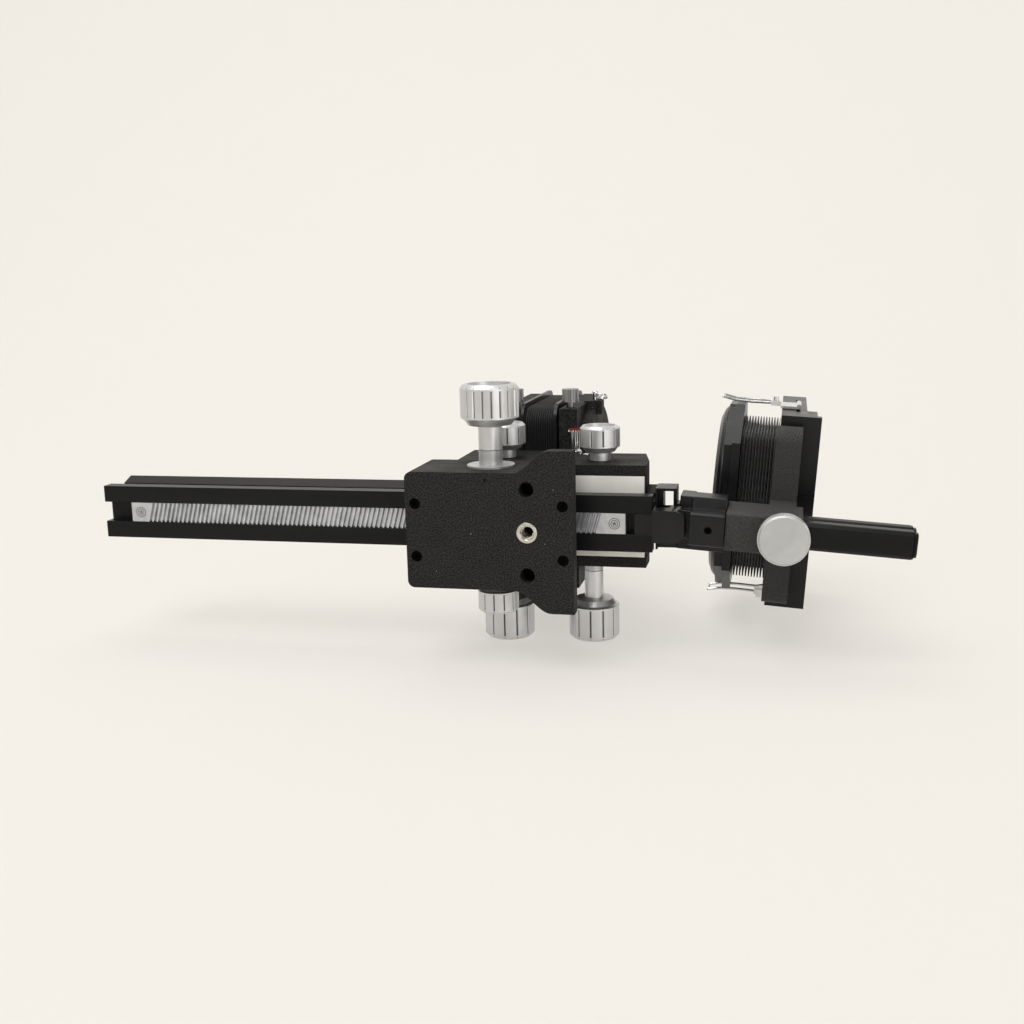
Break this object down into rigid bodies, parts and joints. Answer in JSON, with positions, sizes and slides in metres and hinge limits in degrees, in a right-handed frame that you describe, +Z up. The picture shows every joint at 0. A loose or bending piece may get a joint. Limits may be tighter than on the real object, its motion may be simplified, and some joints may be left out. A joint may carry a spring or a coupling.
{
  "type": "macro bellows with slide copier",
  "caption": "Camera macro bellows on a geared focusing rail, with a pleated bellows between two standards and a slide and film copier on a rod at the rail's end.",
  "frame": {"origin": "mouth centre of the tripod bushing, on the carriage's flat base", "axes": "+X along the rail towards the copier, +Y towards the standards' drive knobs, +Z up in use"},
  "size_m": [0.385, 0.1265, 0.162],
  "materials": {
    "crinkle": "black crinkle paint",
    "black": "black anodised",
    "satin": "satin anodised",
    "bright": "polished chrome",
    "pale": "satin",
    "cloth": "matt black pleated cloth",
    "opal": "translucent white",
    "red": "gloss",
    "brass": "satin",
    "blackoxide": "black oxide"
  },
  "bodies": {
    "carriage": {"carriage_block": "crinkle", "tripod_bushing": "bright", "block_screws": "blackoxide", "carriage_bush": "satin", "carriage_lock_pad": "brass"},
    "carriage_drive": {"carriage_knob": "satin", "carriage_pinion": "pale"},
    "carriage_lock": {"carriage_lock_knob": "satin"},
    "rail": {"rail": "black", "focus_rack": "pale", "standard_rack": "pale", "rack_screws": "pale", "adapter": "black", "swivel_pin": "bright"},
    "rear_standard": {"rear_saddle": "crinkle", "rear_upright": "crinkle", "rear_gib_upper": "pale", "rear_gib_lower": "pale", "rear_bush": "satin", "bellows_rear_plate": "black"},
    "rear_drive": {"rear_knob": "satin", "rear_pinion": "pale"},
    "rear_lock": {"rear_lock_knob": "satin"},
    "camera_mount": {"camera_ring": "black"},
    "camera_lock": {"camera_ring_screw": "satin"},
    "front_standard": {"front_saddle": "crinkle", "front_upright": "crinkle", "front_gib_upper": "pale", "front_gib_lower": "pale", "front_bush": "satin", "lens_ring": "bright", "release_socket": "bright", "release_ring": "red", "bellows_front_plate": "black", "main_bellows": "cloth"},
    "front_drive": {"front_knob": "satin", "front_pinion": "pale"},
    "front_lock": {"front_lock_knob": "satin"},
    "board_lock": {"lens_board_screw": "satin"},
    "copier_swing": {"copier_arm": "black", "copier_rod": "black", "arm_set_screw": "blackoxide"},
    "copier_carriage": {"copier_casting": "crinkle", "film_stage": "black"},
    "copier_thumb": {"copier_thumb_screw": "satin"},
    "copier_front": {"copier_ring": "black", "copier_plate": "black", "copier_bellows": "cloth"},
    "gate": {"gate_door": "black", "opal_screen": "opal"},
    "cradle_upper": {"cradle_top": "pale"},
    "cradle_lower": {"cradle_bottom": "pale"}
  },
  "joints": [
    {"name": "rail_slide", "type": "slide", "parent": "carriage", "child": "rail", "axis": [1, 0, 0], "range_m": [-0.022, 0.165]},
    {"name": "carriage_drive_turn", "type": "hinge", "parent": "carriage", "child": "carriage_drive", "pos_m": [-0.0202, 0, 0.01976], "axis": [0, 1, 0], "range_deg": [-250, 1850]},
    {"name": "carriage_lock_turn", "type": "hinge", "parent": "carriage", "child": "carriage_lock", "pos_m": [-0.0202, 0, 0.0275], "axis": [0, 1, 0], "range_deg": [0, 180]},
    {"name": "rear_slide", "type": "slide", "parent": "rail", "child": "rear_standard", "axis": [1, 0, 0], "range_m": [-0.15, 0], "deforming": ["main_bellows"]},
    {"name": "rear_drive_turn", "type": "hinge", "parent": "rear_standard", "child": "rear_drive", "pos_m": [-0.0213, 0, 0.05404], "axis": [0, 1, 0], "range_deg": [-1680, 0]},
    {"name": "rear_lock_turn", "type": "hinge", "parent": "rear_standard", "child": "rear_lock", "pos_m": [-0.0213, 0, 0.05404], "axis": [0, 1, 0], "range_deg": [0, 180]},
    {"name": "camera_ring_turn", "type": "hinge", "parent": "rear_standard", "child": "camera_mount", "pos_m": [-0.03, 0, 0.118], "axis": [1, 0, 0], "range_deg": [0, 90]},
    {"name": "camera_lock_turn", "type": "hinge", "parent": "rear_standard", "child": "camera_lock", "pos_m": [-0.024, 0, 0.088], "axis": [0, 1, 0], "range_deg": [0, 180]},
    {"name": "front_slide", "type": "slide", "parent": "rail", "child": "front_standard", "axis": [1, 0, 0], "range_m": [0, 0.0025]},
    {"name": "front_drive_turn", "type": "hinge", "parent": "front_standard", "child": "front_drive", "pos_m": [0.0207, 0, 0.05404], "axis": [0, 1, 0], "range_deg": [0, 45]},
    {"name": "front_lock_turn", "type": "hinge", "parent": "front_standard", "child": "front_lock", "pos_m": [0.0242, 0, 0.05404], "axis": [0, 1, 0], "range_deg": [0, 180]},
    {"name": "board_lock_turn", "type": "hinge", "parent": "front_standard", "child": "board_lock", "pos_m": [0.0042, 0, 0.088], "axis": [0, 1, 0], "range_deg": [0, 180]},
    {"name": "copier_swing_turn", "type": "hinge", "parent": "rail", "child": "copier_swing", "pos_m": [0.061, 0, 0.032], "axis": [0, 0, 1], "range_deg": [-4, 0]},
    {"name": "copier_slide", "type": "slide", "parent": "copier_swing", "child": "copier_carriage", "axis": [0.9976, 0.0698, 0], "range_m": [0, 0.045]},
    {"name": "copier_thumb_turn", "type": "hinge", "parent": "copier_carriage", "child": "copier_thumb", "pos_m": [0.10938, 0.00338, 0.013], "axis": [0, 0, 1], "range_deg": [0, 180]},
    {"name": "copier_front_slide", "type": "slide", "parent": "copier_carriage", "child": "copier_front", "axis": [-0.9976, -0.0698, 0], "range_m": [0, 0.024], "deforming": ["copier_bellows"]},
    {"name": "gate_turn", "type": "hinge", "parent": "copier_carriage", "child": "gate", "pos_m": [0.11472, 0.04466, 0.118], "axis": [0, 0, 1], "range_deg": [0, 90]},
    {"name": "cradle_upper_turn", "type": "hinge", "parent": "copier_carriage", "child": "cradle_upper", "pos_m": [0.11501, -0.04414, 0.118], "axis": [0, 0, 1], "range_deg": [0, 90]},
    {"name": "cradle_lower_turn", "type": "hinge", "parent": "copier_carriage", "child": "cradle_lower", "pos_m": [0.10834, 0.05123, 0.118], "axis": [0, 0, 1], "range_deg": [-90, 0]}
  ],
  "couplings": [
    {"joint": "carriage_drive_turn", "follows": "rail_slide", "rad_per_m": 195.13},
    {"joint": "rear_drive_turn", "follows": "rear_slide", "rad_per_m": 195.13},
    {"joint": "front_drive_turn", "follows": "front_slide", "rad_per_m": 195.13}
  ]
}
